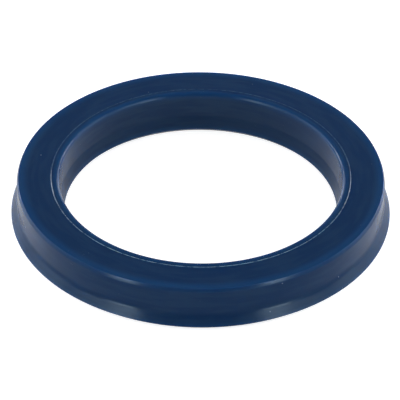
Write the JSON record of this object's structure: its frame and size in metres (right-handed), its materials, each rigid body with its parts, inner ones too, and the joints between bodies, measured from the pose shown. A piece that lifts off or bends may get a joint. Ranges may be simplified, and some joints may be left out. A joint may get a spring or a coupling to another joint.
{
  "type": "u cup seal",
  "caption": "Blue polyurethane lip seal ring with a solid heel, two flared lips and a U groove between them, for a hydraulic rod.",
  "frame": {"origin": "centre of the ring, on the plane of the lip ends that it stands on", "axes": "+Z along the ring's axis, from the lips to the heel; the ring is round, so X and Y are free"},
  "size_m": [0.0822, 0.0822, 0.01],
  "materials": {
    "polyurethane": "satin"
  },
  "bodies": {
    "root": {"u_cup_seal": "polyurethane"}
  },
  "joints": []
}
